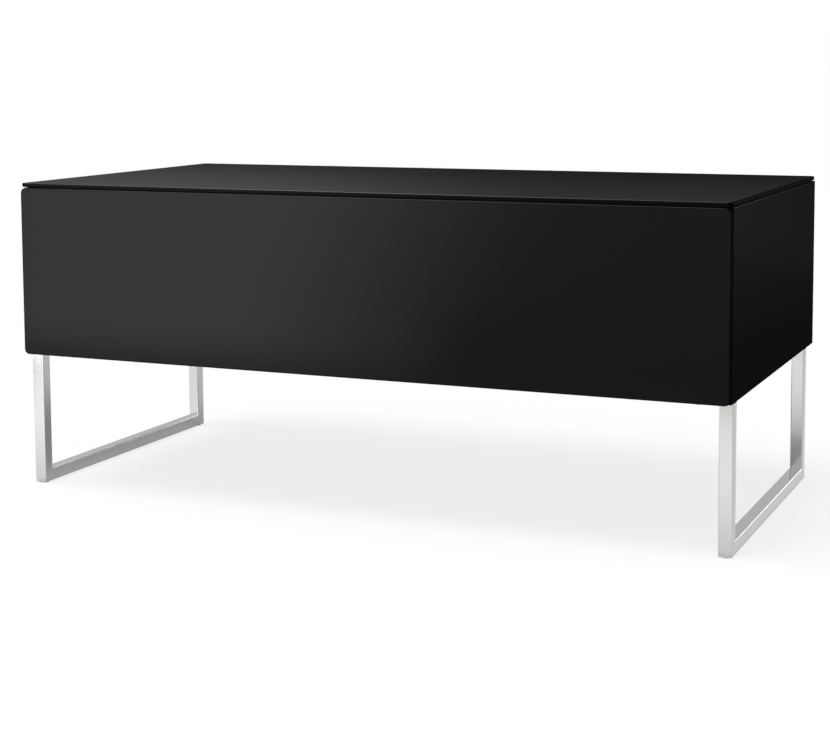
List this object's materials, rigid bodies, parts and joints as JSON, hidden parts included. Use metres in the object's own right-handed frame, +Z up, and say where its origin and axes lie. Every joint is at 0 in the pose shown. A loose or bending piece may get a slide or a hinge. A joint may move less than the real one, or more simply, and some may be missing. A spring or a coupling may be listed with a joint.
{
  "type": "audio rack",
  "caption": "Low audio rack: a box with a thin glass top, a full-width drop-down glass flap on dampers and touch latches, vented bays with shelves, and sled legs of square tube.",
  "frame": {"origin": "on the floor, under the middle of the rack", "axes": "X along the width, +Y from the flap to the back, +Z up"},
  "size_m": [1.1, 0.55, 0.47],
  "materials": {
    "black_satin_glass": "etched satin face, black lacquer behind",
    "black_lacquered_board": "satin black lacquer on fibreboard",
    "black_melamine_board": "matt black melamine",
    "satin_steel": "satin ground",
    "zinc_plated_steel": "zinc plated",
    "black_plastic": "fine moulded grain",
    "pale_plastic": "moulded",
    "clear_silicone": "clear",
    "grey_nylon": "matt",
    "beech": "plain turned"
  },
  "bodies": {
    "cabinet": {"top_glass": "black_satin_glass", "glass_pads": "clear_silicone", "top_panel": "black_melamine_board", "bottom_panel": "black_melamine_board", "side_panel_left": "black_lacquered_board", "side_panel_right": "black_lacquered_board", "centre_partition": "black_melamine_board", "back_panel_left": "black_melamine_board", "back_panel_right": "black_melamine_board", "cable_grommets": "black_plastic", "shelf_left": "black_melamine_board", "shelf_right": "black_melamine_board", "shelf_pins": "zinc_plated_steel", "hinge_leaves_fixed": "zinc_plated_steel", "hinge_pins": "zinc_plated_steel", "damper_housing_left": "black_plastic", "damper_housing_right": "black_plastic", "latch_body_left": "black_plastic", "latch_body_right": "black_plastic", "flap_bumpers": "clear_silicone", "leg_frame_left": "satin_steel", "leg_frame_right": "satin_steel", "leg_bolts": "zinc_plated_steel", "leg_inserts": "zinc_plated_steel", "floor_glides": "grey_nylon", "cam_locks": "zinc_plated_steel", "cam_bolts": "zinc_plated_steel", "dowels": "beech", "partition_screws": "zinc_plated_steel", "back_screws": "zinc_plated_steel", "hinge_screws_fixed": "zinc_plated_steel", "damper_screws": "zinc_plated_steel", "latch_screws": "zinc_plated_steel"},
    "flap": {"flap_glass": "black_satin_glass", "flap_board": "black_melamine_board", "hinge_leaves_flap": "zinc_plated_steel", "hinge_screws_flap": "zinc_plated_steel", "flap_bracket_left": "zinc_plated_steel", "flap_bracket_right": "zinc_plated_steel", "bracket_pins": "zinc_plated_steel", "bracket_screws": "zinc_plated_steel", "strike_plates": "zinc_plated_steel", "strike_screws": "zinc_plated_steel"},
    "damper_lever_left": {"damper_lever_left": "zinc_plated_steel", "damper_axle_left": "zinc_plated_steel", "rod_rivet_left": "zinc_plated_steel"},
    "damper_rod_left": {"damper_rod_left": "zinc_plated_steel"},
    "latch_plunger_left": {"latch_plunger_left": "pale_plastic"},
    "damper_lever_right": {"damper_lever_right": "zinc_plated_steel", "damper_axle_right": "zinc_plated_steel", "rod_rivet_right": "zinc_plated_steel"},
    "damper_rod_right": {"damper_rod_right": "zinc_plated_steel"},
    "latch_plunger_right": {"latch_plunger_right": "pale_plastic"}
  },
  "joints": [
    {"name": "flap_hinge", "type": "hinge", "parent": "cabinet", "child": "flap", "pos_m": [0, -0.26575, 0.208], "axis": [1, 0, 0], "range_deg": [0, 90]},
    {"name": "damper_lever_left", "type": "hinge", "parent": "cabinet", "child": "damper_lever_left", "pos_m": [-0.52, -0.20575, 0.248], "axis": [1, 0, 0], "range_deg": [0, 90]},
    {"name": "damper_rod_left", "type": "hinge", "parent": "damper_lever_left", "child": "damper_rod_left", "pos_m": [-0.5155, -0.18175, 0.318], "axis": [1, 0, 0], "range_deg": [-90, 0]},
    {"name": "damper_lever_right", "type": "hinge", "parent": "cabinet", "child": "damper_lever_right", "pos_m": [0.52, -0.20575, 0.248], "axis": [1, 0, 0], "range_deg": [0, 90]},
    {"name": "damper_rod_right", "type": "hinge", "parent": "damper_lever_right", "child": "damper_rod_right", "pos_m": [0.5155, -0.18175, 0.318], "axis": [1, 0, 0], "range_deg": [-90, 0]},
    {"name": "latch_push_left", "type": "slide", "parent": "cabinet", "child": "latch_plunger_left", "axis": [0, 1, 0], "range_m": [0, 0.003], "stiffness_N_per_m": 400},
    {"name": "latch_push_right", "type": "slide", "parent": "cabinet", "child": "latch_plunger_right", "axis": [0, 1, 0], "range_m": [0, 0.003], "stiffness_N_per_m": 400}
  ],
  "couplings": [
    {"joint": "damper_lever_left", "follows": "flap_hinge", "ratio": 1},
    {"joint": "damper_rod_left", "follows": "flap_hinge", "ratio": -1},
    {"joint": "damper_lever_right", "follows": "flap_hinge", "ratio": 1},
    {"joint": "damper_rod_right", "follows": "flap_hinge", "ratio": -1}
  ]
}
